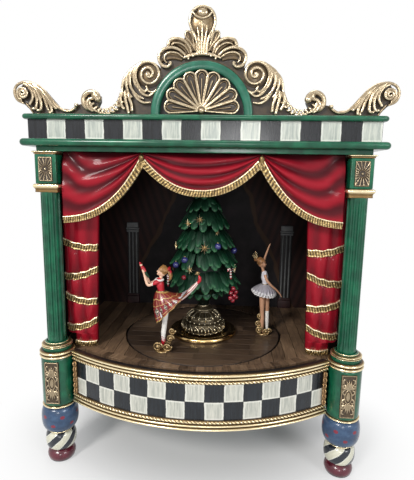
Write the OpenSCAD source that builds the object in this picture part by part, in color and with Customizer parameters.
// Theatre music box: a turned and gilded case on four feet, a stage with a turntable,
// a tree and two dancers, and a wind-up movement inside the base.
// X runs across the front, Y runs from the front to the back, Z is up from the floor.

/* [Case] */
// Overall height from the floor to the tip of the finial
total_h = 400; // [385:1:420]
// Depth from the apron's foremost face to the back wall
case_depth = 195; // [185:1:230]
// Distance between the axes of the two front columns
column_spacing = 261.6; // [250:0.2:300]
// Thickness of the side and back walls
wall_t = 5; // [4:0.5:8]
// Thickness of the base board and the stage floor
board_t = 4; // [3:0.5:5]
// Height of the stage floor's top above the ground
floor_z = 107.2; // [104:0.2:116]
// Height from the underside of the lower cornice to the tip of the finial
crown_h = 113.4; // [110:0.2:118]

/* [Apron] */
// Distance from the column axes forward to the apron's curved face at the middle
apron_reach = 38.4; // [30:0.2:48]
// Width of the curved apron between its ends
apron_w = 227.8; // [215:0.2:240]
// Thickness of the apron panel
apron_t = 4; // [3:0.5:6]
// Height of the lower edge of the apron's bottom moulding
apron_z0 = 59.3; // [57:0.1:62]
// Height of each gilt apron moulding
apron_band_h = 9.4; // [8:0.2:11]
// How far the mouldings stand proud of the apron panel
apron_band_proud = 2.8; // [2:0.2:4]
// Width of the carved gilt strips at the ends of the apron
end_strip_w = 3.6; // [3:0.2:5]

/* [Columns] */
// Distance from the column axes back from the apron's foremost face
column_inset = 41.2; // [36:0.2:48]
// Radius of the pedestals
pedestal_r = 14.4; // [12:0.2:16]
// Radius of the double gilt ring on each pedestal
ring_r = 15.6; // [14:0.2:18]
// Height of the pedestals' lower end
pedestal_z = 56; // [54:0.5:57]
// Radius of the fluted shafts
shaft_r = 8.2; // [7:0.2:10]
// Radius of each flute
flute_r = 1.5; // [1:0.1:1.8]
// Number of flutes round a shaft
flute_n = 12; // [8:1:14]
// Width of the square capital blocks
capital_w = 18.4; // [16:0.2:20]
// Depth of the square capital blocks
capital_d = 14.6; // [12:0.2:17]
// Height of the capital blocks
capital_h = 24.6; // [20:0.2:28]

/* [Entablature] */
// Width of the frieze
frieze_w = 288.8; // [284:0.2:296]
// Distance from the column axes forward to the frieze's face
frieze_reach = 6.5; // [4:0.1:9]
// Height of the frieze
frieze_h = 15.6; // [12:0.2:20]
// Thickness of the frieze boards
frieze_t = 6; // [4:0.5:8]
// Thickness of the lower cornice plate
lower_plate_t = 6; // [5:0.5:8]
// Height of the step under the lower cornice plate
lower_step_h = 4; // [3:0.5:6]
// Thickness of the upper cornice plate
upper_plate_t = 4.4; // [3:0.2:6]
// Overhang of the lower cornice plate
lower_over = 6.5; // [4:0.5:8]
// Overhang of the upper cornice plate
upper_over = 4; // [3:0.5:6]

/* [Pediment] */
// Thickness of the scroll carvings
scroll_t = 9; // [7:0.5:12]
// Outer radius of the green arch
arch_r = 41.6; // [38:0.2:44]
// Width of the green arch seen from the front
arch_w = 7.4; // [6:0.2:10]
// Thickness of the green arch
arch_t = 12; // [10:0.5:15]
// Radius of the finial's head
finial_r = 10.2; // [9:0.2:11]

/* [Drapery] */
// Depth of the fullest fold of the swags
swag_full = 9; // [7:0.5:11]
// Thickness of the drapery's flat backing
drape_back = 3; // [2:0.5:5]
// Width of the gilt braid
braid_w = 5; // [4:0.5:6]
// How far the braid stands in front of the cloth
braid_t = 1.6; // [1:0.2:2.4]
// Width of each side curtain at its widest
curtain_w = 30; // [26:0.5:34]

/* [Feet] */
// Radius of the dotted balls
ball_r = 16.6; // [15:0.2:18]
// Radius of the twisted balls
twist_r = 13.9; // [12:0.1:15]
// Radius of the lowest buns
bun_r = 12.7; // [11:0.1:14]
// Height of the lowest buns
bun_h = 12; // [10:0.5:14]
// Height of the twisted balls between the bun and the ring
twist_h = 17.5; // [15:0.5:19]
// Height of the gilt rings above the twisted balls
foot_ring_h = 2; // [1.5:0.1:3]

/* [Stage] */
// Distance from the middle of the case back to the turntable's axis
turntable_y = 2; // [0:0.5:4]
// Radius of the turntable disc
turntable_r = 78.4; // [70:0.2:80]
// Thickness of the turntable disc
turntable_t = 3.2; // [2.5:0.1:4]
// Gap round the turntable disc in the floor
turntable_gap = 1.2; // [0.8:0.1:2]
// Radius of the gilt disc under the tree
tree_disc_r = 34.3; // [30:0.1:38]
// Height of the gilt tree stand with its disc
stand_h = 30; // [26:0.5:34]
// Gap between the tip of the tree and the ceiling board
tree_gap = 18.4; // [12:0.2:30]
// Radius of the tree's lowest tier
foliage_r = 37.5; // [34:0.5:42]
// Number of tiers of the tree
tier_n = 7; // [5:1:9]
// Radius of the ornaments on the tree
ornament_r = 2.3; // [1.8:0.1:2.6]
// Distance from the turntable's axis to each dancer
dancer_orbit = 61; // [58:0.5:64]
// Height of each dancer's head top above the turntable
dancer_h = 80; // [72:1:86]
// Thickness of the backdrop board
backdrop_t = 3; // [2:0.5:5]

/* [Movement] */
// Distance from the turntable's axis back to the spring barrel's axis, set by the gears
gear_module = 1; // [0.9:0.05:1]
// Number of teeth on the turntable's wheel
table_teeth = 28; // [24:2:32]
// Number of teeth on the barrel's great wheel
great_teeth = 56; // [52:2:60]
// Radius of the turntable shaft
table_shaft_r = 3; // [2.5:0.1:3.5]
// Radius of the winding arbor
arbor_r = 2.5; // [2:0.1:2.8]
// Running clearance of a shaft in its bearing, radial
running_fit = 0.05; // [0.02:0.01:0.08]
// Radius of the spring barrel's drum
drum_r = 16.5; // [15.5:0.1:17]
// Wall of the spring barrel's drum
drum_wall = 1; // [0.8:0.1:1.4]
// Number of teeth on the barrel's crown wheel
crown_teeth = 48; // [48:4:48]
// Number of teeth on the cylinder's pinion
pinion_teeth = 12; // [12:4:12]
// Pitch radius of the crown wheel
crown_r = 20; // [20:0.1:20]
// Radius of the pinned cylinder
cylinder_r = 6.5; // [6:0.1:6.5]
// Length of the pinned cylinder
cylinder_len = 23; // [22:0.5:23]
// Number of notes of the comb
note_n = 18; // [16:1:20]
// Width of the winding key's two wings
key_w = 28; // [22:1:32]

/* [Hidden] */

// Small gaps and steps used in many places
gap = 0.3;
eps = 0.01;
fine = 96;
capital_lip = 2;

// Places of the case
col_x = column_spacing / 2;
front_y = -case_depth / 2;
back_y = case_depth / 2;
col_y = front_y + column_inset;
apron_y = col_y - apron_reach;
frieze_y = col_y - frieze_reach;
apron_half = apron_w / 2;
apron_end_y = col_y - 3.5;
apron_sag = apron_end_y - apron_y;
apron_r = (apron_half * apron_half + apron_sag * apron_sag) / (2 * apron_sag);
apron_cy = apron_y + apron_r;
apron_angle = asin(apron_half / apron_r);
base_z = apron_z0 + 0.2;
base_top = base_z + board_t;
floor_bottom = floor_z - board_t;
apron_z1 = floor_z + 2.5;
wall_x = col_x + shaft_r;
wall_in = wall_x - wall_t;
wall_front = col_y + capital_d / 2 + capital_lip + gap;
back_in = back_y - wall_t;
cornice_z = total_h - crown_h;
frieze_z = cornice_z + lower_step_h + lower_plate_t;
upper_z = frieze_z + frieze_h;
roof_z = upper_z + upper_plate_t;
ceiling_t = 3;
stage_top = cornice_z - ceiling_t;

// Straight cylinder between two heights
module rod(z0, z1, r, n = fine) {
  translate([0, 0, z0]) cylinder(h = z1 - z0, r = r, $fn = n);
}

// Box between two corners
module block(a, b) {
  translate(a) cube(b - a);
}

// Both front column places
module at_columns() {
  for (s = [-1, 1]) translate([s * col_x, col_y, 0]) children();
}

// All four foot places
foot_back_y = back_y - ball_r - 1;
module at_feet() {
  for (s = [-1, 1], y = [col_y, foot_back_y]) translate([s * col_x, y, 0]) children();
}

// Ring band round the apron's centre between two radii, within the apron's width
module apron_band(z0, z1, r_in, r_out) {
  intersection() {
    translate([0, apron_cy, 0]) difference() {
      rod(z0, z1, r_out, 180);
      rod(z0 - 1, z1 + 1, r_in, 180);
    }
    block([-apron_half, apron_cy - r_out - 1, z0 - 1], [apron_half, apron_end_y, z1 + 1]);
  }
}

// Solid that the apron's curved front encloses
module apron_field(z0, z1, r) {
  intersection() {
    translate([0, apron_cy, 0]) rod(z0, z1, r, 180);
    block([-apron_half, apron_cy - r - 1, z0 - 1], [apron_half, apron_end_y + eps, z1 + 1]);
  }
}

// Room that the pedestals take from the boards
module pedestal_room(z0, z1) {
  at_columns() rod(z0, z1, ring_r + gap);
}

// Case

// Service and movement places, from the gears
table_pitch_r = gear_module * table_teeth / 2;
great_pitch_r = gear_module * great_teeth / 2;
barrel_y = turntable_y + table_pitch_r + great_pitch_r;
bed_z = base_top + 5.5;
bed_t = 2;
bed_top = bed_z + bed_t;
bed_x0 = -26;
bed_x1 = 67;
bed_y0 = turntable_y + 5;
bed_y1 = barrel_y + 36;
post_r = 3.2;
screw_r = 1.5;
head_r = 3;
head_h = 1.6;
post_in = 4;
post_places = [for (x = [bed_x0 + post_in, bed_x1 - post_in], y = [bed_y0 + post_in, bed_y1 - post_in])
  [x, y]];
arbor_hole_r = arbor_r + 0.8;

module base_outline(z0, z1) {
  apron_field(z0, z1, apron_r - apron_t - 0.02);
  block([-wall_in, apron_end_y, z0], [wall_in, back_in, z1]);
}

module base_plate() {
  color("#2c2018") difference() {
    base_outline(base_z, base_top);
    pedestal_room(base_z - 1, base_top + 1);
    translate([0, barrel_y, 0]) rod(base_z - 1, base_top + 1, arbor_hole_r, 48);
    for (p = post_places) translate([p.x, p.y, 0]) rod(base_z - 1, base_top + 1, screw_r + 0.2, 32);
    stop_slot(base_z - 1, base_top + 1);
  }
}

module apron_panel() {
  color("#e9e4d4")
    apron_band(base_z, apron_z1 - 0.4, apron_r - apron_t, apron_r);
}

// Gilt moulding: three reeds and a wider rope band between them
module apron_moulding(z0, flip) {
  reed = apron_band_h / 8;
  z_rope = z0 + apron_band_h * (flip ? 0.70 : 0.30);
  z_reeds = [for (k = [0.12, 0.36]) z0 + apron_band_h * (flip ? k : 1 - k)];
  translate([0, apron_cy, 0]) rotate([0, 0, -90 - apron_angle])
    rotate_extrude(angle = 2 * apron_angle, $fn = 180) {
      translate([apron_r + 0.1, z0]) square([apron_band_proud * 0.45, apron_band_h]);
      for (z = z_reeds)
        translate([apron_r + apron_band_proud - reed, z]) circle(r = reed, $fn = 24);
      translate([apron_r + apron_band_proud * 0.45 - 0.1, z_rope - apron_band_h * 0.27])
        square([apron_band_proud * 0.4, apron_band_h * 0.54]);
    }
}

module apron_top_moulding() {
  color("#c9a458") apron_moulding(apron_z1 - apron_band_h, false);
}

module apron_bottom_moulding() {
  color("#c9a458") apron_moulding(apron_z0, true);
}

// Carved strips that close the apron's ends towards the pedestals
module apron_end_strips() {
  z0 = apron_z0 + apron_band_h + gap;
  z1 = apron_z1 - apron_band_h - gap;
  color("#b08a45") for (s = [-1, 1])
    translate([0, apron_cy, 0]) rotate([0, 0, s * (apron_angle - end_strip_w * 90 / (PI * apron_r))])
      {
        block([-end_strip_w / 2, -apron_r - 1.2, z0], [end_strip_w / 2, -apron_r - 0.15, z1]);
        for (k = [0 : 5]) translate([0, -apron_r - 1.1, z0 + (z1 - z0) * (k + 0.5) / 6])
          rotate([90, 0, 0]) cylinder(h = 0.9, r = end_strip_w * 0.36, $fn = 24);
      }
}

module side_wall(s) {
  color("#1f6b50") difference() {
    block([s > 0 ? wall_in : -wall_x, wall_front, base_z], [s > 0 ? wall_x : -wall_in, back_in, cornice_z]);
    pedestal_room(base_z - 1, collar_z1 + gap);
  }
}

module side_wall_left() { side_wall(-1); }
module side_wall_right() { side_wall(1); }

panel_w = 150;
panel_h = 32;
panel_z = base_top + 2;
panel_t = 2.4;
panel_screws = [for (sx = [-1, 1], sz = [0.15, 0.85]) [sx * (panel_w / 2 - 7), panel_z + panel_h * sz]];
vent_r = 1.8;
vent_n = 9;

// Back wall with the service opening and the panel's rebate
module back_wall() {
  color("#1f6b50") difference() {
    block([-wall_x, back_in, base_z], [wall_x, back_y, cornice_z]);
    block([-panel_w / 2 - gap, back_y - panel_t, panel_z - gap],
      [panel_w / 2 + gap, back_y + 1, panel_z + panel_h + gap]);
    block([-panel_w / 2 + 13, back_in - 1, panel_z + 5],
      [panel_w / 2 - 13, back_y + 1, panel_z + panel_h - 5]);
    for (p = panel_screws) translate([p.x, back_y, p.y]) rotate([90, 0, 0])
      cylinder(h = 2 * wall_t, r = 1.2, center = true, $fn = 24);
  }
}

module service_panel() {
  color("#23201d") difference() {
    block([-panel_w / 2, back_y - panel_t + 0.05, panel_z], [panel_w / 2, back_y, panel_z + panel_h]);
    for (p = panel_screws) translate([p.x, back_y, p.y]) rotate([90, 0, 0])
      cylinder(h = 2 * panel_t, r = 1.4, center = true, $fn = 24);
    for (k = [0 : vent_n - 1], j = [-1, 1])
      translate([(k - (vent_n - 1) / 2) * 9, back_y, panel_z + panel_h / 2 + j * 4.5])
        rotate([90, 0, 0]) cylinder(h = 2 * panel_t + 1, r = vent_r, center = true, $fn = 24);
  }
}

module stage_floor() {
  color("#5b4636") difference() {
    base_outline(floor_bottom, floor_z);
    pedestal_room(floor_bottom - 1, floor_z + 1);
    translate([0, turntable_y, 0])
      rod(floor_bottom - 1, floor_z + 1, turntable_r + turntable_gap, 180);
  }
}

module ceiling_board() {
  color("#1d1a18") block([-wall_in, wall_front, stage_top], [wall_in, back_in, cornice_z]);
}

module backdrop() {
  color("#1f1b19")
    block([-wall_in, back_in - backdrop_t, floor_z], [wall_in, back_in, stage_top]);
}

pilaster_places = [-95, 95];
pilaster_w = 13;
pilaster_h = 96;

// Fluted pilasters with a block below and above, fixed to the backdrop
module backdrop_pilasters() {
  front = back_in - backdrop_t;
  color("#6d675f") for (x = pilaster_places) translate([x, 0, floor_z]) {
    block([-pilaster_w / 2 - 1, front - 4, 0], [pilaster_w / 2 + 1, front, 10]);
    difference() {
      block([-pilaster_w / 2, front - 3, 10], [pilaster_w / 2, front, pilaster_h]);
      for (k = [-1 : 1]) translate([k * pilaster_w * 0.3, front - 3.4, 14]) rod(0, pilaster_h - 18, 1.3, 24);
    }
    block([-pilaster_w / 2 - 1, front - 4, pilaster_h], [pilaster_w / 2 + 1, front, pilaster_h + 7]);
  }
}

// Columns

collar_z1 = 118;
ring_t = 3.1;
ring_z = [105.2, 108.6, 114.6];
upper_ring_r = shaft_r + 5.2;
foot_cap_h = 2.8;

// Round pedestal with a coved collar that carries the shaft
module pedestal() {
  rod(pedestal_z + foot_cap_h, 103.6, pedestal_r);
  rod(103.6 - eps, 110.2 + eps, ring_r - ring_t - 0.05);
  rod(110.2, 113, ring_r - 3);
  rod(113 - eps, 116.2 + eps, upper_ring_r - ring_t - 0.05);
  rod(116.2, collar_z1, shaft_r + 2);
}

module pedestal_left() { color("#23704f") translate([-col_x, col_y, 0]) pedestal(); }
module pedestal_right() { color("#23704f") translate([col_x, col_y, 0]) pedestal(); }

// Ring of round section
module gilt_ring(z, r_out) {
  translate([0, 0, z]) rotate_extrude($fn = fine)
    translate([r_out - ring_t / 2, 0]) circle(r = ring_t / 2, $fn = 20);
}

foot_ring_z = bun_h + twist_h;

module gilt_rings() {
  color("#cfa95c") {
    at_columns() {
      for (k = [0, 1]) gilt_ring(ring_z[k], ring_r);
      gilt_ring(ring_z[2], upper_ring_r);
      difference() {
        capital_ring(capital_z0 - 7.2, 7);
        rod(collar_z1, capital_z0 + 1, shaft_r + 0.05);
      }
      capital_ring(capital_z0 + capital_h + 0.1, cornice_z - capital_z0 - capital_h - 0.15);
    }
    at_feet() {
      rod(foot_ring_z + 0.05, foot_ring_z + foot_ring_h, 10.7);
      rod(pedestal_z, pedestal_z + foot_cap_h - 0.05, ring_r - 0.4);
    }
    for (s = [-1, 1]) translate([s * col_x, foot_back_y, 0])
      rod(pedestal_z + foot_cap_h, base_z - 0.02, pedestal_r - 1);
  }
}

// Square gilt moulding above or below a capital block
module capital_ring(z, h) {
  block([-capital_w / 2 - 0.6, -capital_d / 2 - 0.6, z], [capital_w / 2 + 0.6, capital_d / 2 + 0.6, z + h]);
  block([-capital_w / 2 - capital_lip, -capital_d / 2 - capital_lip, z + h * 0.55],
    [capital_w / 2 + capital_lip, capital_d / 2 + capital_lip, z + h * 0.95]);
}

capital_z0 = cornice_z - capital_h - 2.6;

// Fluted shaft and the square block on top of it
module column() {
  difference() {
    rod(collar_z1, capital_z0 + eps, shaft_r);
    for (k = [0 : flute_n - 1]) rotate([0, 0, k * 360 / flute_n + 15])
      translate([shaft_r + flute_r * 0.35, 0, 0]) rod(collar_z1 + 6, capital_z0 - 12, flute_r, 20);
  }
  block([-capital_w / 2, -capital_d / 2, capital_z0],
    [capital_w / 2, capital_d / 2, capital_z0 + capital_h]);
}

module column_left() { color("#23704f") translate([-col_x, col_y, 0]) column(); }
module column_right() { color("#23704f") translate([col_x, col_y, 0]) column(); }

relief_w = 13;
relief_t = 1.1;

// Carved panel: border, oval boss and rayed leaves
module relief(w, h) {
  block([-w / 2, 0, 0], [w / 2, relief_t * 0.5, h]);
  for (s = [-1, 1]) {
    block([s > 0 ? w / 2 - 1 : -w / 2, -relief_t * 0.5, 0], [s > 0 ? w / 2 : 1 - w / 2, 0.05, h]);
    block([1 - w / 2, -relief_t * 0.5, s > 0 ? h - 1 : 0], [w / 2 - 1, 0.05, s > 0 ? h : 1]);
  }
  for (k = [0 : 7]) translate([0, 0, h / 2]) rotate([0, k * 45 + 22.5, 0])
    block([-0.6, -relief_t * 0.4, w * 0.14], [0.6, 0.05, w * 0.36]);
  translate([0, 0, h / 2]) rotate([90, 0, 0]) cylinder(h = relief_t, r = w * 0.15, $fn = 24);
}

pedestal_relief_h = 40;
module column_reliefs() {
  color("#c6a05a") at_columns() {
    translate([0, -sqrt(pedestal_r * pedestal_r - relief_w * relief_w / 4) - relief_t * 0.5, 61.5])
      difference() {
        block([-relief_w / 2, -2.2, 0], [relief_w / 2, 3, pedestal_relief_h]);
        translate([0, sqrt(pedestal_r * pedestal_r - relief_w * relief_w / 4) + relief_t * 0.5, 0])
          rod(-1, pedestal_relief_h + 1, pedestal_r + 0.05);
      }
    translate([0, -capital_d / 2 - relief_t * 0.5 - 0.05, capital_z0 + 2])
      relief(relief_w - 1, capital_h - 4);
  }
}

// Entablature

module lower_cornice() {
  z1 = cornice_z + lower_step_h;
  color("#23704f") {
    block([-wall_x, frieze_y + 1, cornice_z], [wall_x, back_y, z1 + eps]);
    cornice_plate(z1, lower_plate_t, lower_over);
  }
}

// Plate with a rounded edge at the front and the sides
module cornice_plate(z, t, over) {
  half = frieze_w / 2 + over - t / 2;
  y0 = frieze_y - over + t / 2;
  block([-half, y0, z], [half, back_y, z + t]);
  translate([0, y0, z + t / 2]) rotate([0, 90, 0])
    cylinder(h = 2 * half, r = t / 2, center = true, $fn = 32);
  for (s = [-1, 1]) {
    translate([s * half, y0, z + t / 2]) rotate([-90, 0, 0]) cylinder(h = back_y - y0, r = t / 2, $fn = 32);
    translate([s * half, y0, z + t / 2]) sphere(r = t / 2, $fn = 32);
  }
}

module frieze() {
  color("#e9e4d4") difference() {
    block([-frieze_w / 2, frieze_y, frieze_z], [frieze_w / 2, back_y, upper_z]);
    block([-frieze_w / 2 + frieze_t, frieze_y + frieze_t, frieze_z - 1],
      [frieze_w / 2 - frieze_t, back_y - frieze_t, upper_z + 1]);
  }
}

module upper_cornice() {
  color("#23704f") cornice_plate(upper_z, upper_plate_t, upper_over);
}

// Pediment

ped_y = frieze_y + 1.5;
arch_cz = roof_z + 0.6;
finial_z = total_h - finial_r;
volute_c = [-43.5, roof_z + 31.6];
volute_r = 12;
tip_c = [-149.6, roof_z + 17.6];
tip_r = 8;
curl_c = [-91, roof_z + 13.2];
curl_r = 7;
lobe_c = [-25.4, roof_z + 43.4];
lobe_r = 9.6;
scroll_end = -sqrt(pow(arch_r + gap, 2) - 0.36);

// Outline of the left carving's body, from the outer end to the arch
scroll_body = [
  [-141, 0], [-143.5, 4], [-150, 9.5], [-147, 26.5], [-138, 23], [-129.6, 15.3], [-122, 8], [-116, 4.4],
  [-109, 3], [-104.5, 7], [-102.8, 11], [-98.5, 12], [-97, 16], [-91, 20], [-85, 16], [-86, 11],
  [-80, 5.3], [-73, 7], [-69, 13], [-66.5, 20], [-64, 28], [-60, 35], [-54, 40.5], [-45, 42.5],
  [-38, 41], [-30, 36], [-30, 0]
];

module scroll(s) {
  color("#c29b55") mirror([s > 0 ? 1 : 0, 0, 0]) translate([0, ped_y, 0]) difference() {
    union() {
      translate([0, scroll_t, roof_z]) rotate([90, 0, 0]) linear_extrude(scroll_t) polygon(scroll_body);
      disc_boss(tip_c, tip_r, 1.5);
      disc_boss(curl_c, curl_r, 1.5);
      disc_boss(volute_c, volute_r, 2.4);
      disc_boss(lobe_c, lobe_r, 0);
    }
    translate([0, -5, arch_cz]) rotate([-90, 0, 0]) cylinder(h = 3 * scroll_t, r = arch_r + 0.1, $fn = fine);
    block([scroll_end, -5, roof_z - 1], [10, 3 * scroll_t, arch_cz]);
  }
}

// Disc that runs through the carving's thickness and stands proud by a step
module disc_boss(c, r, proud) {
  translate([c[0], scroll_t, c[1]]) rotate([90, 0, 0]) cylinder(h = scroll_t + proud, r = r, $fn = 48);
  translate([c[0], scroll_t, c[1]]) rotate([90, 0, 0])
    cylinder(h = scroll_t + proud + 1.2, r = r * 0.3, $fn = 32);
}

module pediment_scroll_left() { scroll(-1); }
module pediment_scroll_right() { scroll(1); }

module half_ring(r_out, r_in, y0, y1) {
  intersection() {
    translate([0, 0, arch_cz]) rotate([-90, 0, 0]) difference() {
      translate([0, 0, y0]) cylinder(h = y1 - y0, r = r_out, $fn = 180);
      if (r_in > 0) translate([0, 0, y0 - 1]) cylinder(h = y1 - y0 + 2, r = r_in, $fn = 180);
    }
    block([-r_out - 1, y0 - 1, roof_z], [r_out + 1, y1 + 1, arch_cz + r_out + 1]);
  }
}

module pediment_arch() {
  color("#23704f") half_ring(arch_r, arch_r - arch_w, ped_y - 2, ped_y - 2 + arch_t);
}

tymp_t = 3;
tymp_y = ped_y + 4;
module pediment_tympanum() {
  color("#2a2320") half_ring(arch_r - arch_w - 0.05, 0, tymp_y, tymp_y + tymp_t);
}

petal_n = 9;
petal_len = arch_r - arch_w - 3.6;
petal_step = 166 / (petal_n - 1);
shell_rise = 3.4;
shell_z = roof_z + shell_rise;
shell_hub_r = shell_rise - 0.1;
shell_steps = 8;

// How far the shell's edge is from its hub at angle a, measured from straight up
function shell_edge(a) =
  let (u = a / petal_step, d = abs(u - round(u)))
  petal_len - 3.2 * (1 - sqrt(1 - 3.8 * d * d));

module pediment_shell() {
  half = petal_n * petal_step / 2;
  n = petal_n * shell_steps;
  foot = petal_len * 0.9;
  color("#c8a55c") translate([0, tymp_y - 0.05, shell_z]) rotate([90, 0, 0]) {
    linear_extrude(2.4) polygon(concat(
      [for (k = [0 : n]) let (a = half - 2 * half * k / n) shell_edge(a) * [sin(a), cos(a)]],
      [[-foot, 0.1 - shell_rise], [foot, 0.1 - shell_rise]]));
    for (k = [0 : petal_n - 1]) rotate([0, 0, (k - (petal_n - 1) / 2) * petal_step])
      linear_extrude(4.4) polygon([[-0.3, 2.6], [0.3, 2.6], [2.4, petal_len - 8], [2.1, petal_len - 5],
        [0, petal_len - 3.6], [-2.1, petal_len - 5], [-2.4, petal_len - 8]]);
    cylinder(h = 6, r = shell_hub_r, $fn = 32);
  }
}

// Side leaves of the finial: distance from its middle, height above the arch and radius
finial_lobes = [[9.5, 21.4, 4.2], [15.5, 15.2, 6.2]];
// Half-width and height of the finial's foot, which the arch cuts off
finial_foot = [17, 38];

module pediment_finial() {
  color("#c9a65f") difference() {
    translate([0, ped_y + scroll_t, 0]) rotate([90, 0, 0]) {
      translate([0, finial_z]) cylinder(h = scroll_t, r = finial_r, $fn = 48);
      translate([0, finial_z]) cylinder(h = scroll_t + 2, r = finial_r * 0.62, $fn = 48);
      linear_extrude(scroll_t)
        polygon([[-finial_r * 0.97, finial_z - 2], [finial_r * 0.97, finial_z - 2],
          [finial_foot[0], arch_cz + finial_foot[1]], [-finial_foot[0], arch_cz + finial_foot[1]]]);
      for (s = [-1, 1], l = finial_lobes)
        translate([s * l[0], arch_cz + arch_r + l[1]]) cylinder(h = scroll_t - 1, r = l[2], $fn = 40);
      for (k = [-2 : 2]) translate([0, arch_cz + arch_r + 1]) rotate([0, 0, k * 9])
        linear_extrude(scroll_t + 2) polygon([[-1, 0], [1, 0], [1.8, 17], [-1.8, 17]]);
    }
    translate([0, ped_y - 9, arch_cz]) rotate([-90, 0, 0])
      cylinder(h = 4 * scroll_t, r = arch_r + 0.1, $fn = 180);
    for (s = [-1, 1]) translate([s * lobe_c[0], ped_y - 9, lobe_c[1]]) rotate([-90, 0, 0])
      cylinder(h = 4 * scroll_t, r = lobe_r + 0.1, $fn = 48);
  }
}

// Drapery

drape_y = frieze_y + 10;
drape_top = cornice_z - 0.05;
swag_nu = 24;
swag_nv = 14;

// Faces turned so that they run clockwise seen from outside
function flipped(faces) = [for (f = faces) [for (i = [len(f) - 1 : -1 : 0]) f[i]]];

// Closed solid between a front surface of points and a flat back, from a grid of places
module fold_solid(p, nu, nv, back) {
  n = (nu + 1) * (nv + 1);
  front_pts = [for (i = [0 : nu], j = [0 : nv]) p[i][j]];
  back_pts = [for (i = [0 : nu], j = [0 : nv]) [p[i][j].x, back, p[i][j].z]];
  function at(i, j) = i * (nv + 1) + j;
  rim = concat([for (i = [0 : nu - 1]) at(i, 0)], [for (j = [0 : nv - 1]) at(nu, j)],
    [for (i = [nu : -1 : 1]) at(i, nv)], [for (j = [nv : -1 : 1]) at(0, j)]);
  faces = concat(
    [for (i = [0 : nu - 1], j = [0 : nv - 1]) each
      [[at(i, j), at(i + 1, j + 1), at(i + 1, j)], [at(i, j), at(i, j + 1), at(i + 1, j + 1)]]],
    [for (i = [0 : nu - 1], j = [0 : nv - 1]) each
      [[n + at(i, j), n + at(i + 1, j), n + at(i + 1, j + 1)],
       [n + at(i, j), n + at(i + 1, j + 1), n + at(i, j + 1)]]],
    [for (k = [0 : len(rim) - 1]) let (a = rim[k], b = rim[(k + 1) % len(rim)]) each
      [[a, b, n + b], [a, n + b, n + a]]]);
  polyhedron(points = concat(front_pts, back_pts), faces = flipped(faces));
}

// Lower edge of a swag: x from 0 to 1, falling by a curve between two ends
function centre_drop(u) = 2 + 28.5 * (1 - pow(abs(2 * u - 1), 2.2));
function side_drop(u) = 2 + 53 * (1 - pow(u, 2.6)) - 1.5 * sin(180 * u);
function swag_fold(u, v, n) =
  (0.5 + 0.5 * cos(360 * n * v)) * pow(sin(180 * min(max(u, 0.02), 0.98)), 0.6);
function swag_bow(u, v, side) =
  sin(90 * min(1, v * 1.4)) * (side ? 1 - 0.55 * u : 0.55 + 0.45 * sin(180 * u));

centre_half = 50.5;
side_in = centre_half + 0.4;
side_out = col_x - capital_w / 2 - capital_lip - gap;
fold_h = 3.4;
fold_n = 3.5;

function swag_place(x0, x1, side, u, v) = [
  x0 + (x1 - x0) * u,
  drape_y - (swag_full - fold_h) * swag_bow(u, v, side)
    - fold_h * swag_fold(side ? 0.5 * u + 0.1 : u, v, fold_n),
  drape_top - (side ? side_drop(u) : centre_drop(u)) * v];

module swag(x0, x1, side) {
  p = [for (i = [0 : swag_nu]) [for (j = [0 : swag_nv])
    swag_place(x0, x1, side, i / swag_nu, j / swag_nv)]];
  fold_solid(p, swag_nu, swag_nv, drape_y + drape_back);
}

module swag_centre() { color("#a3192b") swag(-centre_half, centre_half, false); }
module swag_left() { color("#a3192b") swag(-side_out, -side_in, true); }
module swag_right() { color("#a3192b") mirror([1, 0, 0]) swag(-side_out, -side_in, true); }

// Side curtains hang behind the swags in tiers that are tied by braid bands
band_z = [floor_z + 0.05, 125, 149, 174, 200];
curtain_top = cornice_z - 24.6;
taper_top = 230;
taper_h = 122;
curtain_full = 8;
curtain_y = drape_y + drape_back + curtain_full + gap;
curtain_nu = 18;
curtain_nv = 4;
curtain_x = col_x - 4;
tier_top = [for (t = [0 : len(band_z) - 1]) t < len(band_z) - 1 ? band_z[t + 1] - 0.1 : curtain_top];

// Outer and inner edge of the left curtain at a height, as distances from the middle
function curtain_out(z) =
  z < collar_z1 + 2 ? col_x - ring_r + 2.8 : curtain_x - 2 * (taper_top - min(z, taper_top)) / taper_h;
function curtain_in(z) = curtain_x - curtain_w - 3 + 4 * (taper_top - min(z, taper_top)) / taper_h;
function curtain_swell(u, v) = (curtain_full - 4.4) * sin(180 * v) + 1.7 * (1 - cos(360 * 3 * u));

module curtain() {
  for (t = [0 : len(band_z) - 1]) {
    z0 = band_z[t] + braid_w + 0.1;
    z1 = tier_top[t];
    p = [for (i = [0 : curtain_nu]) [for (j = [0 : curtain_nv]) let (
        u = i / curtain_nu,
        v = j / curtain_nv,
        z = z1 + (z0 - z1) * v)
      [-curtain_out(z) + (curtain_out(z) - curtain_in(z)) * u, curtain_y - 1 - curtain_swell(u, v), z]]];
    fold_solid(p, curtain_nu, curtain_nv, curtain_y + 3);
  }
}

module curtain_left() { color("#a3192b") curtain(); }
module curtain_right() { color("#a3192b") mirror([1, 0, 0]) curtain(); }

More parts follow.
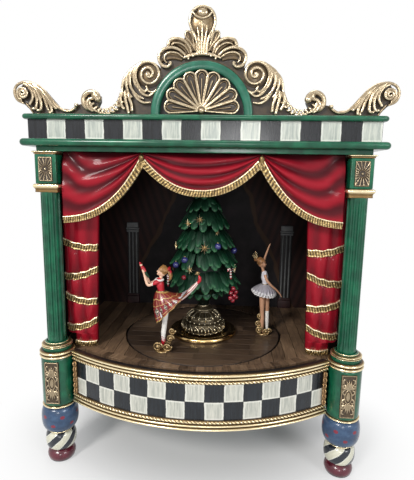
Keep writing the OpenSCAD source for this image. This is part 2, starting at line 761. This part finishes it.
// Braid strip along places, each [x, z, y of its face], as one swept solid below an edge
module braid(pts, w, t, proud) {
  n = len(pts);
  dirs = [for (k = [0 : n - 1]) let (
      a = pts[max(k - 1, 0)], b = pts[min(k + 1, n - 1)], d = [b[0] - a[0], b[1] - a[1]])
    d / norm(d)];
  rings = [for (k = [0 : n - 1]) let (
      q = [-dirs[k][1], dirs[k][0]],
      top = [pts[k][0], pts[k][1]] - q * 0.15,
      low = top - q * w,
      mid = (top + low) / 2,
      y = pts[k][2]) each [
    [top[0], y + t, top[1]], [top[0], y, top[1]], [mid[0], y - proud, mid[1]],
    [low[0], y, low[1]], [low[0], y + t, low[1]]]];
  faces = concat([[4, 3, 2, 1, 0]],
    [for (k = [0 : n - 2], m = [0 : 4]) let (a = k * 5 + m, b = k * 5 + (m + 1) % 5) each
      [[a, b, b + 5], [a, b + 5, a + 5]]],
    [[for (m = [0 : 4]) (n - 1) * 5 + m]]);
  polyhedron(points = rings, faces = flipped(faces));
}

// Lower edge of a swag between two places along it
function swag_edge(x0, x1, side, u0, u1) = [for (k = [0 : swag_nu]) let (
    u = u0 + (u1 - u0) * k / swag_nu, p = swag_place(x0, x1, side, u, 1)) [p.x, p.z, p.y - 0.6]];

module curtain_braid() {
  color("#cdb06a") {
    braid(swag_edge(-centre_half, centre_half, false, 0.045, 0.955), braid_w, 3, braid_t - 0.8);
    for (s = [0, 1]) mirror([s, 0, 0]) {
      braid(swag_edge(-side_out, -side_in, true, 0, 0.985), braid_w, 3, braid_t - 0.8);
      for (z = band_z) let (top = z + braid_w)
        braid([for (k = [0 : 6]) [-curtain_out(z) - 0.3 + (curtain_out(z) - curtain_in(z) + 0.6) * k / 6,
          top + 0.1, curtain_y - 2.2]], braid_w - 0.1, 4, braid_t);
    }
  }
}

// Feet

ball_z = foot_ring_z + foot_ring_h + sqrt(ball_r * ball_r - 10.2 * 10.2);

module foot_balls() {
  color("#3f628f") at_feet() intersection() {
    translate([0, 0, ball_z]) sphere(r = ball_r, $fn = 64);
    rod(foot_ring_z + foot_ring_h + 0.05, pedestal_z - 0.05, ball_r + 1);
  }
}

module foot_twists() {
  color("#e9e4d4") at_feet() intersection() {
    translate([0, 0, bun_h + twist_h / 2 + 0.3]) sphere(r = twist_r, $fn = 64);
    rod(bun_h + 0.05, foot_ring_z, twist_r + 1);
  }
}

module foot_buns() {
  color("#6d1f2c") at_feet() intersection() {
    union() {
      translate([0, 0, bun_h * 0.6]) rotate_extrude($fn = 64) {
        square([bun_r - 5.5, bun_h * 0.4]);
        intersection() {
          translate([bun_r - 7.2, 0]) circle(r = 7.2, $fn = 48);
          translate([0, -bun_h]) square([bun_r, 2 * bun_h]);
        }
        translate([0, -bun_h * 0.6]) square([bun_r - 3.6, bun_h * 0.6]);
      }
    }
    rod(0, bun_h, bun_r + 1);
  }
}

// Stage

bridge_z0 = 96;
bridge_z1 = 100;
bridge_w = 26;
bush_r = 6;
flange_r = 11;
bush_z0 = 93;
bush_flange_z = bridge_z1;
bush_top = bush_flange_z + 1.2;
table_hub_z = bush_top + gap;
disc_z = floor_z - turntable_t;
bridge_half = turntable_r + turntable_gap + 9;

// Batten under the floor that carries the turntable's bearing
module turntable_bridge() {
  color("#a5875c") translate([0, turntable_y, 0]) difference() {
    union() {
      block([-bridge_half, -bridge_w / 2, bridge_z0], [bridge_half, bridge_w / 2, bridge_z1]);
      for (s = [-1, 1]) block([s > 0 ? bridge_half - 8 : -bridge_half, -bridge_w / 2, bridge_z1 - eps],
        [s > 0 ? bridge_half : 8 - bridge_half, bridge_w / 2, floor_bottom]);
    }
    rod(bridge_z0 - 1, bridge_z1 + 1, bush_r + 0.05, 48);
  }
}

module turntable_bearing() {
  color("#c9a548") translate([0, turntable_y, 0]) difference() {
    union() {
      rod(bush_z0, bush_top, bush_r, 48);
      rod(bush_flange_z + 0.02, bush_top, flange_r, 48);
    }
    rod(bush_z0 - 1, bush_top + 1, table_shaft_r + running_fit, 48);
  }
}

module turntable_disc() {
  color("#5f4a39") translate([0, turntable_y, 0]) difference() {
    rod(disc_z, floor_z, turntable_r, 180);
    rod(disc_z - 1, floor_z + 1, table_shaft_r + 0.05, 48);
  }
}

// Involute helpers: angle function and half angle of a tooth at a radius
function inv(a) = tan(a) * 180 / PI - a;
function tooth_half(n, rp, r, fill) = let (rb = rp * cos(20), q = max(r, rb + 0.001))
  90 / n * fill + inv(20) - inv(acos(rb / q));

// Outline of a spur wheel with n teeth, a tooth centred on angle start
function wheel_pts(n, m, start, fill = 0.88, add = 0.85, ded = 1.15) = let (
    rp = m * n / 2,
    radii = [rp - ded * m, rp - 0.1 * m, rp + 0.45 * m, rp + add * m])
  [for (k = [0 : n - 1]) let (c = start + k * 360 / n) each concat(
    [for (r = radii) let (h = tooth_half(n, rp, r, fill)) [r * cos(c - h), r * sin(c - h)]],
    [for (i = [3 : -1 : 0]) let (r = radii[i], h = tooth_half(n, rp, r, fill))
      [r * cos(c + h), r * sin(c + h)]])];

wheel_z0 = 87.6;
wheel_t = 3.2;
great_z0 = 87.9;
great_t = 2.6;

// Shaft, hub flange under the disc and the wheel that the barrel drives
module turntable_shaft() {
  color("#b9a25a") translate([0, turntable_y, 0]) {
    rod(wheel_z0 - 1, disc_z + 0.01, table_shaft_r, 48);
    rod(disc_z, floor_z, table_shaft_r, 48);
    rod(table_hub_z, disc_z - 0.02, 14, 64);
    rod(wheel_z0 + wheel_t - eps, bush_z0 - gap, table_shaft_r + 3, 48);
    translate([0, 0, wheel_z0]) linear_extrude(wheel_t)
      polygon(wheel_pts(table_teeth, gear_module, 90 + 180 / table_teeth));
  }
}

stand_disc_h = 3;
stand_top = floor_z + stand_h;

module tree_stand() {
  z = floor_z + stand_disc_h;
  h = stand_h - stand_disc_h;
  color("#c09a50") translate([0, turntable_y, 0]) {
    rod(floor_z + 0.02, floor_z + 1.4, tree_disc_r - 1.2, fine);
    rod(floor_z + 1.4 - eps, z, tree_disc_r, fine);
    translate([0, 0, z - eps]) rotate_extrude($fn = 64) {
      polygon([[0, 0], [21.5, 0], [22, h * 0.09], [20.5, h * 0.15], [21, h * 0.26], [18.6, h * 0.37],
        [13, h * 0.47], [8.5, h * 0.55], [6.2, h * 0.64], [6.2, h * 0.7], [8.2, h * 0.77], [8.2, h * 0.85],
        [5.4, h * 0.92], [5.4, h], [0, h]]);
    }
  }
}

// Tier k runs from its wide skirt up into the one above
foliage_h = stage_top - stand_top - tree_gap;

function tier_z(k) = stand_top + 8 + (foliage_h - 20) * k / tier_n;
function tier_r(k) = foliage_r * (1 - 0.84 * k / tier_n);

module tree_foliage() {
  trunk_r = 3.4;
  color("#1d5a3c") translate([0, turntable_y, 0]) {
    rod(stand_top + 0.02, tier_z(0) + 2, trunk_r, 24);
    rotate_extrude($fn = 40) polygon(concat(
      [[0, tier_z(0) + 1.5]],
      [for (k = [0 : tier_n - 1]) let (h = tier_z(k + 1) - tier_z(k)) each [
        [tier_r(k) - 2.5, tier_z(k)], [tier_r(k), tier_z(k) + 1.5], [tier_r(k) * 0.93, tier_z(k) + h * 0.35],
        [tier_r(k + 1) * 0.86, tier_z(k + 1) - 0.4]]],
      [[tier_r(tier_n) * 0.9, tier_z(tier_n)], [0, stand_top + foliage_h]]));
  }
}

// Ornaments hang at the rims of the tiers
module tree_ornaments() {
  per = 5;
  color("#d8b04c") translate([0, turntable_y, 0])
    for (k = [0 : tier_n - 2], j = [0 : per - 1])
      rotate([0, 0, j * 360 / per + k * 27 - 90])
        translate([tier_r(k) + ornament_r + 0.15, 0, tier_z(k) + 1.5]) sphere(r = ornament_r, $fn = 16);
}

// Capsule limb between two places
module limb(a, b, ra, rb) {
  hull() {
    translate(a) sphere(r = ra, $fn = 12);
    translate(b) sphere(r = rb, $fn = 12);
  }
}

// Places of the dancers round the turntable's axis, as angles from +X
red_angle = 236;
white_angle = 0;

// Dancer in red, on one leg with the other raised behind, seen facing to the left
module dancer_red_body() {
  s = dancer_h / 80;
  scale(s) {
    rotate_extrude($fn = 24) polygon([[0, 0], [8.6, 0], [8.6, 1.6], [6, 3.4], [0, 3.4]]);
    limb([0, 0, 4], [1.5, 0, 22], 1.6, 2.4);
    limb([1.5, 0, 22], [3.5, 0, 44], 2.4, 3.2);
    limb([4.5, 0, 44], [22, 3, 54], 3.2, 2);
    limb([22, 3, 54], [33, 5, 66], 2, 1.3);
    hull() {
      translate([5, 0, 46]) scale([1.5, 1.1, 0.8]) sphere(r = 6, $fn = 16);
      translate([18, 0, 40]) sphere(r = 5, $fn = 12);
      translate([13, 0, 26]) scale([1.4, 1.2, 0.3]) sphere(r = 9, $fn = 16);
      translate([2, 0, 34]) sphere(r = 5, $fn = 12);
    }
    limb([3, 0, 48], [-1, 0, 62], 4.2, 4.6);
    limb([-1, 0, 64], [-2, 0, 70], 2, 1.8);
    translate([-2.5, 0, 74.4]) sphere(r = 5.4, $fn = 20);
    limb([-3, -4, 64], [-11, -5, 69], 1.5, 1.2);
    limb([-11, -5, 69], [-18, -5, 77], 1.2, 1);
    limb([-2, 4, 63], [-12, 6, 67], 1.5, 1.2);
    limb([-18, -5, 77], [-11, -5, 66], 2.2, 1.8);
  }
}

module dancer_red() {
  color("#b3202e") translate([0, turntable_y, floor_z + 0.02])
    rotate([0, 0, red_angle]) translate([dancer_orbit, 0, 0]) rotate([0, 0, -red_angle]) dancer_red_body();
}

// Dancer in white with a tutu, one arm raised, seen facing to the right
module dancer_white_body() {
  s = dancer_h / 80;
  scale(s) {
    rotate_extrude($fn = 24) polygon([[0, 0], [8, 0], [8, 1.6], [5.4, 3.2], [0, 3.2]]);
    limb([0, 0, 3.4], [-1, 0, 24], 1.5, 2.3);
    limb([-1, 0, 24], [-2, 0, 46], 2.3, 3);
    limb([3, 1.5, 3.6], [3, 1.5, 24], 1.5, 2.3);
    limb([3, 1.5, 24], [0, 1, 46], 2.3, 3);
    translate([-1, 0, 40]) rotate_extrude($fn = 28)
      polygon([[0, 0], [6, 1], [15, -2.5], [16, -1], [9, 5], [4, 8.5], [0, 8.5]]);
    limb([-1, 0, 48], [-2, 0, 61], 3.6, 4.2);
    limb([-2, 0, 62], [-2, 0, 69], 1.8, 1.7);
    translate([-2, 0, 74.6]) sphere(r = 5.2, $fn = 20);
    limb([-2, -4, 63], [4, -5, 78], 1.5, 1.1);
    limb([4, -5, 78], [8, -5, 94], 1.1, 0.9);
    limb([-2, 4, 62], [8, 6, 52], 1.5, 1.2);
    limb([8, 6, 52], [19, 6, 40], 1.2, 0.9);
  }
}

module dancer_white() {
  color("#e8e4e0") translate([0, turntable_y, floor_z + 0.02])
    rotate([0, 0, white_angle]) translate([dancer_orbit, 0, 0]) rotate([0, 0, -white_angle])
      dancer_white_body();
}

// Movement

crown_z0 = bed_top + 1;
crown_disc_t = 1.5;
crown_top = crown_z0 + crown_disc_t;
crown_m = 2 * crown_r / crown_teeth;
pinion_r = crown_m * pinion_teeth / 2;
crown_add = 0.7 * crown_m;
crown_ded = 1.2 * crown_m;
crown_pitch_z = crown_top + crown_ded;
cyl_z = crown_pitch_z + pinion_r;
drum_z0 = crown_top - eps;
drum_z1 = great_z0 - 1.2;
drum_floor = 1.2;
ratchet_z0 = base_top + 2.4;
ratchet_t = 2.2;
ratchet_r = 8;
ratchet_teeth = 24;

// Places along the cylinder's axis, from the barrel's axis
pinion_x0 = crown_r - 1.6;
pinion_x1 = crown_r + 1.8;
bracket_t = 1.7;
left_x = pinion_x1 + 1.2;
cyl_x0 = left_x + bracket_t + 1.4;
cyl_x1 = cyl_x0 + cylinder_len;
mid_x = cyl_x1 + 1.2;
cyl_wheel_x = mid_x + bracket_t + 0.5;
cyl_wheel_t = 1.6;
gov_wheel_x = cyl_wheel_x + cyl_wheel_t + 1.6;
gov_wheel_t = 1;
right_x = gov_wheel_x + gov_wheel_t + 3.4;
cyl_arbor_r = 1.5;
gov_arbor_r = 1;
cyl_wheel_m = 0.5;
cyl_wheel_teeth = 36;
gov_pinion_teeth = 12;
worm_wheel_m = 0.6;
worm_wheel_teeth = 20;
gov_mesh = cyl_wheel_m * (cyl_wheel_teeth + gov_pinion_teeth) / 2;
gov_lift = 35;
gov_y = barrel_y - gov_mesh * cos(gov_lift);
gov_z = cyl_z + gov_mesh * sin(gov_lift);
worm_r = 1.7;
worm_starts = 2;
worm_y = gov_y - worm_wheel_m * worm_wheel_teeth / 2 - worm_r;
worm_x = gov_wheel_x + gov_wheel_t / 2;
worm_lead = worm_starts * PI * worm_wheel_m;
worm_len = 9;
fan_arbor_r = 0.9;
tab_z = gov_z + worm_wheel_m * worm_wheel_teeth / 2 + 1.6;
tab_t = 1.4;
fan_z0 = tab_z + tab_t + 0.8;
fan_h = 5;
fan_r = 7;
collar_r = 1.9;
stop_pin_r = 3.4;
stop_pin_z = bed_top + 2;

module movement_bedplate() {
  slot_r = cyl_wheel_m * cyl_wheel_teeth / 2 + 1.6;
  color("#b8aa80") difference() {
    union() {
      block([bed_x0, bed_y0, bed_z], [bed_x1, bed_y1, bed_top]);
      for (p = post_places) translate([p.x, p.y, 0]) rod(base_top + 0.02, bed_z + eps, post_r, 32);
      block([cyl_x0 - 1, comb_y0, bed_top - eps], [cyl_x1 + 1, comb_y0 + comb_base_d, comb_z]);
      translate([stop_x, stop_y, 0]) rod(base_top + 0.3, bed_z + eps, stop_stud_r, 32);
      translate([pawl_x, pawl_y, 0]) rod(base_top + 0.6, bed_z + eps, pawl_stud_r, 32);
    }
    translate([0, barrel_y, 0]) rod(base_top, bed_top + 1, arbor_r + running_fit, 48);
    for (p = post_places) translate([p.x, p.y, 0]) rod(base_top - 1, bed_z, screw_r + 0.05, 32);
    block([cyl_wheel_x - 0.6, barrel_y - slot_r, bed_z - 1],
      [cyl_wheel_x + cyl_wheel_t + 0.6, barrel_y + slot_r, bed_top + 1]);
    translate([worm_x, worm_y, 0]) rod(bed_z - 1, bed_top + 1, fan_arbor_r + running_fit, 32);
    finger_slot(bed_z - 1, bed_top + 1);
    for (x = comb_screw_x) translate([x, comb_y0 + comb_base_d / 2, 0]) rod(bed_top, comb_z + 1, 1.05, 24);
  }
}

// Upright plate across the movement, standing on the bedplate
module upright(x, y0, y1, z1) {
  block([x, y0, bed_top + 0.02], [x + bracket_t, y1, z1]);
}

module bearing_brackets() {
  mid_y0 = gov_y - 4;
  color("#c3b68c") difference() {
    union() {
      upright(left_x, barrel_y - 5, barrel_y + 5, cyl_z + 4);
      upright(mid_x, mid_y0, barrel_y + 5, gov_z + 3.5);
      upright(right_x, worm_y - 3, gov_y + 4, tab_z + tab_t);
      block([worm_x - 3, worm_y - 3, tab_z], [right_x + eps, worm_y + 3, tab_z + tab_t]);
    }
    translate([0, barrel_y, cyl_z]) rotate([0, 90, 0]) translate([0, 0, left_x - 1])
      cylinder(h = mid_x - left_x + bracket_t + 2, r = cyl_arbor_r + running_fit, $fn = 32);
    translate([0, gov_y, gov_z]) rotate([0, 90, 0]) translate([0, 0, mid_x - 1])
      cylinder(h = right_x - mid_x + bracket_t + 2, r = gov_arbor_r + running_fit, $fn = 32);
    translate([worm_x, worm_y, 0]) rod(tab_z - 1, tab_z + tab_t + 1, fan_arbor_r + running_fit, 32);
  }
}

pin_h = 0.5;
tooth_tip_y = barrel_y + cylinder_r + pin_h + gap;
comb_len = 15;
comb_y0 = tooth_tip_y + comb_len;
comb_base_d = 9;
comb_t = 1.2;
comb_z = cyl_z - comb_t / 2;
note_pitch = (cylinder_len - 2) / note_n;
comb_screw_x = [cyl_x0 + 4, cyl_x1 - 4];

module comb() {
  color("#8f9296") difference() {
    block([cyl_x0, tooth_tip_y, comb_z + 0.02], [cyl_x1, comb_y0 + comb_base_d, comb_z + comb_t]);
    for (k = [0 : note_n]) {
      x = cyl_x0 + 1 + k * note_pitch;
      block([x - 0.15, tooth_tip_y - 1, comb_z - 1],
        [x + 0.15, comb_y0 - 3 - 5 * k / note_n, comb_z + comb_t + 1]);
    }
    for (x = comb_screw_x) translate([x, comb_y0 + comb_base_d / 2, 0])
      rod(comb_z - 1, comb_z + comb_t + 1, 1.2, 24);
  }
}

// Slotted screws: two hold the comb and four hold the posts from below
module screw(z_head, up, len, r, hr, hh) {
  difference() {
    union() {
      rod(up ? z_head : z_head - hh, up ? z_head + hh : z_head, hr, 32);
      rod(up ? z_head - len : z_head - eps, up ? z_head + eps : z_head + len, r, 32);
    }
    block([-hr - 1, -0.35, up ? z_head + hh * 0.5 : z_head - hh - 1],
      [hr + 1, 0.35, up ? z_head + hh + 1 : z_head - hh * 0.5]);
  }
}

module movement_screws() {
  color("#9a9da1") {
    for (x = comb_screw_x) translate([x, comb_y0 + comb_base_d / 2, 0])
      screw(comb_z + comb_t + 0.02, true, 5, 1, 2, 1.2);
    for (p = post_places) translate([p.x, p.y, 0])
      screw(base_z - 0.02, false, board_t + 4.5, screw_r, head_r, head_h);
  }
}

// Barrel with its crown wheel below and its great wheel above
module spring_barrel() {
  color("#c2a14d") translate([0, barrel_y, 0]) difference() {
    union() {
      rod(crown_z0, crown_top, crown_r + 2, fine);
      for (k = [0 : crown_teeth - 1]) rotate([0, 0, (k + 0.5) * 360 / crown_teeth])
        translate([crown_r - 1.9, 0, 0]) rotate([90, 0, 90]) linear_extrude(3.8)
          polygon([[-0.78, crown_top - eps], [0.78, crown_top - eps], [0.3, crown_pitch_z + crown_add],
            [-0.3, crown_pitch_z + crown_add]]);
      rod(drum_z0, drum_z1, drum_r, fine);
      rod(drum_z1 - eps, great_z0 + eps, 7, 48);
      translate([0, 0, great_z0]) linear_extrude(great_t)
        polygon(wheel_pts(great_teeth, gear_module, -90));
    }
    rod(crown_z0 - 1, great_z0 + great_t + 1, arbor_r + running_fit, 48);
    rod(drum_z0 + drum_floor, drum_z1 - drum_floor, drum_r - drum_wall, fine);
  }
}

hub_r = arbor_r + 1.6;
spring_turns = 6;
spring_t = 0.35;

// Spiral strip in the drum, from the arbor's hub to the drum's wall
module mainspring() {
  steps = 20 * spring_turns;
  r0 = hub_r + 0.6;
  r1 = drum_r - drum_wall - spring_t - 0.3;
  radius = [for (k = [0 : steps]) r0 + (r1 - r0) * k / steps];
  color("#5c6068") translate([0, barrel_y, drum_z0 + drum_floor + 0.4])
    linear_extrude(drum_z1 - drum_z0 - 2 * drum_floor - 0.8) polygon(concat(
      [for (k = [0 : steps]) let (a = k * 18) [radius[k] * cos(a), radius[k] * sin(a)]],
      [for (k = [steps : -1 : 0]) let (a = k * 18, r = radius[k] + spring_t) [r * cos(a), r * sin(a)]]));
}

// Solid of revolution about the cylinder's axis between two places
module along_x(x0, x1, r, n = 48) {
  translate([x0, 0, 0]) rotate([0, 90, 0]) cylinder(h = x1 - x0, r = r, $fn = n);
}

// Wheel outline standing across the X axis
module wheel_x(x0, t, n, m, start) {
  translate([x0, 0, 0]) rotate([90, 0, 90]) linear_extrude(t) polygon(wheel_pts(n, m, start));
}

module pinned_cylinder() {
  color("#cdb36a") translate([0, barrel_y, cyl_z]) {
    along_x(pinion_x0, pinion_x1 + 0.7, cyl_arbor_r);
    wheel_x(pinion_x0, pinion_x1 - pinion_x0, pinion_teeth, crown_m, -90);
    along_x(pinion_x1, cyl_wheel_x + cyl_wheel_t, cyl_arbor_r);
    along_x(cyl_x0, cyl_x1, cylinder_r, 64);
    wheel_x(cyl_wheel_x, cyl_wheel_t, cyl_wheel_teeth, cyl_wheel_m, 180 - gov_lift);
    for (k = [0 : note_n - 1], j = [0 : 2]) {
      a = (k * 137 + j * 360 / 3 + k * j * 41) % 360;
      rotate([a, 0, 0]) translate([cyl_x0 + 1 + (k + 0.5) * note_pitch, 0, cylinder_r - 0.2])
        cylinder(h = pin_h + 0.2, r = 0.22, $fn = 8);
    }
  }
}

module governor_wheel() {
  color("#d0c7a4") translate([0, gov_y, gov_z]) {
    along_x(mid_x + 0.1, right_x + bracket_t - 0.1, gov_arbor_r, 32);
    wheel_x(cyl_wheel_x - 0.2, cyl_wheel_t + 0.4, gov_pinion_teeth, cyl_wheel_m,
      -gov_lift + 180 / gov_pinion_teeth);
    wheel_x(gov_wheel_x, gov_wheel_t, worm_wheel_teeth, worm_wheel_m, 180 + 180 / worm_wheel_teeth);
  }
}

// Two-start worm, its collar with the stop pin, and the air brake's two blades
module governor_fan() {
  color("#d9d9d2") translate([worm_x, worm_y, 0]) {
    rod(bed_z + 0.2, fan_z0 + fan_h, fan_arbor_r, 32);
    translate([0, 0, gov_z - worm_len / 2]) rotate([0, 0, 90 - 180 * worm_len / worm_lead])
      linear_extrude(worm_len, twist = -360 * worm_len / worm_lead, slices = 30)
        polygon([for (k = [0 : 15]) let (
            a = k * 22.5,
            r = worm_r + worm_wheel_m * (0.45 * cos(2 * a) - 0.4))
          [r * cos(a), r * sin(a)]]);
    rod(bed_top + 0.8, stop_pin_z + 1.4, collar_r, 32);
    translate([0, 0, stop_pin_z]) rotate([-90, 0, 0]) cylinder(h = stop_pin_r, r = 0.5, $fn = 16);
    rod(fan_z0, fan_z0 + fan_h, 1.6, 32);
    block([-fan_r, -0.3, fan_z0], [fan_r, 0.3, fan_z0 + fan_h]);
  }
}

arbor_bottom = 34;
arbor_top = great_z0 + great_t + 1.6;

module winding_arbor() {
  color("#8d9094") translate([0, barrel_y, 0]) {
    rod(arbor_bottom, arbor_top, arbor_r, 48);
    rod(great_z0 + great_t + 0.25, arbor_top, arbor_r + 2, 48);
    rod(drum_z0 + drum_floor + 0.3, drum_z1 - drum_floor - 0.3, hub_r, 48);
    translate([0, 0, ratchet_z0]) linear_extrude(ratchet_t) polygon([for (k = [0 : ratchet_teeth - 1])
      let (a = k * 360 / ratchet_teeth) each [
        [(ratchet_r - 1) * cos(a), (ratchet_r - 1) * sin(a)],
        [ratchet_r * cos(a + 13), ratchet_r * sin(a + 13)]]]);
  }
}

key_z0 = 14;
key_neck_z = 36;

module winding_key() {
  color("#c7a24a") translate([0, barrel_y, 0]) difference() {
    union() {
      rod(key_neck_z - 2, key_neck_z + 12, 4.6, 32);
      intersection() {
        union() {
          for (s = [-1, 1]) translate([s * (key_w / 2 - 7), 0, key_z0 + 10]) rotate([90, 0, 0])
            cylinder(h = 2.4, r = 7, center = true, $fn = 40);
          translate([0, 0, key_z0 + 16]) cube([key_w - 14, 2.4, 14], center = true);
        }
        block([-key_w, -key_w, key_z0], [key_w, key_w, key_neck_z]);
      }
    }
    rod(arbor_bottom - 0.05, key_neck_z + 13, arbor_r + 0.02, 48);
  }
}

// Click: a small lever that drops into the ratchet wheel
pawl_stud_r = 1.2;
pawl_r = 2.6;
pawl_reach = 9;
pawl_x = -(ratchet_r + gap + 2.3);
pawl_y = barrel_y - pawl_reach;

module click_pawl() {
  color("#8d9094") translate([pawl_x, pawl_y, ratchet_z0]) difference() {
    linear_extrude(ratchet_t) {
      circle(r = pawl_r, $fn = 32);
      polygon([[-1.6, 0], [1.6, 0], [1.4, pawl_reach - 2], [2.3, pawl_reach],
        [0.6, pawl_reach + 0.6], [-1, pawl_reach - 1.5]]);
    }
    translate([0, 0, -1]) cylinder(h = ratchet_t + 2, r = pawl_stud_r + running_fit, $fn = 32);
  }
}

// Stop lever: swings a finger into the path of the governor's stop pin
stop_stud_r = 1.5;
stop_len = 12;
stop_swing = 8;
finger_r = 0.7;
stop_x = worm_x - stop_pin_r - finger_r - 0.6 + 1.2;
stop_y = worm_y - stop_len;
stop_finger = [-1.2, stop_len];
stop_z0 = base_top + 1;
stop_t = 1.5;
thumb_pos = [-6, -15];
thumb_r = 1.8;

function turn(p, a) = [p[0] * cos(a) - p[1] * sin(a), p[0] * sin(a) + p[1] * cos(a)];

// Row of overlapping holes that clears a pin over the lever's swing
module swing_slot(p, r, z0, z1) {
  steps = 8;
  translate([stop_x, stop_y, 0]) for (k = [0 : steps]) let (q = turn(p, 1.5 - (stop_swing + 3) * k / steps))
    translate([q[0], q[1], 0]) rod(z0, z1, r, 24);
}

module stop_slot(z0, z1) { swing_slot(thumb_pos, thumb_r + 0.5, z0, z1); }
module finger_slot(z0, z1) { swing_slot(stop_finger, finger_r + 0.5, z0, z1); }

module stop_lever() {
  color("#c7a24a") translate([stop_x, stop_y, 0]) difference() {
    union() {
      rod(stop_z0, bed_z - 0.4, 3.6, 32);
      translate([0, 0, stop_z0]) linear_extrude(stop_t) {
        polygon([[-1.5, 0], [1.5, 0], stop_finger + [1, 0], stop_finger - [1, 0]]);
        translate(stop_finger) circle(r = 1.1, $fn = 24);
        polygon([[1, 1.5], [-1, -1.5], thumb_pos + [-1, -1.6], thumb_pos + [1, 1.6]]);
        translate(thumb_pos) circle(r = thumb_r + 0.2, $fn = 24);
      }
      translate([stop_finger[0], stop_finger[1], 0]) rod(stop_z0, stop_pin_z + 1.4, finger_r, 24);
      translate([thumb_pos[0], thumb_pos[1], 0]) {
        rod(base_z - 8, stop_z0 + stop_t, thumb_r, 32);
        rod(base_z - 8, base_z - 3, thumb_r + 1.6, 32);
      }
    }
    rod(stop_z0 - 1, bed_z, stop_stud_r + running_fit, 32);
  }
}

// Screws of the service panel and of the base board
module case_screws() {
  color("#a58a4a") for (p = panel_screws) translate([p.x, back_y - 0.02, p.y]) rotate([90, 0, 0])
    difference() {
    union() {
      translate([0, 0, 0.4]) cylinder(h = 6, r = 1.1, $fn = 24);
      translate([0, 0, 0.02]) cylinder(h = 1, r = 1.35, $fn = 24);
    }
    block([-2, -0.25, -1], [2, 0.25, 0.5]);
  }
}

base_plate();
apron_panel();
apron_top_moulding();
apron_bottom_moulding();
apron_end_strips();
side_wall_left();
side_wall_right();
back_wall();
service_panel();
stage_floor();
ceiling_board();
backdrop();
backdrop_pilasters();
pedestal_left();
pedestal_right();
gilt_rings();
column_left();
column_right();
column_reliefs();
lower_cornice();
frieze();
upper_cornice();
pediment_scroll_left();
pediment_scroll_right();
pediment_arch();
pediment_tympanum();
pediment_shell();
pediment_finial();
swag_centre();
swag_left();
swag_right();
curtain_left();
curtain_right();
curtain_braid();
foot_balls();
foot_twists();
foot_buns();
turntable_bridge();
turntable_bearing();
turntable_disc();
turntable_shaft();
tree_stand();
tree_foliage();
tree_ornaments();
dancer_red();
dancer_white();
movement_bedplate();
bearing_brackets();
comb();
movement_screws();
spring_barrel();
mainspring();
pinned_cylinder();
governor_wheel();
governor_fan();
winding_arbor();
winding_key();
click_pawl();
stop_lever();
case_screws();
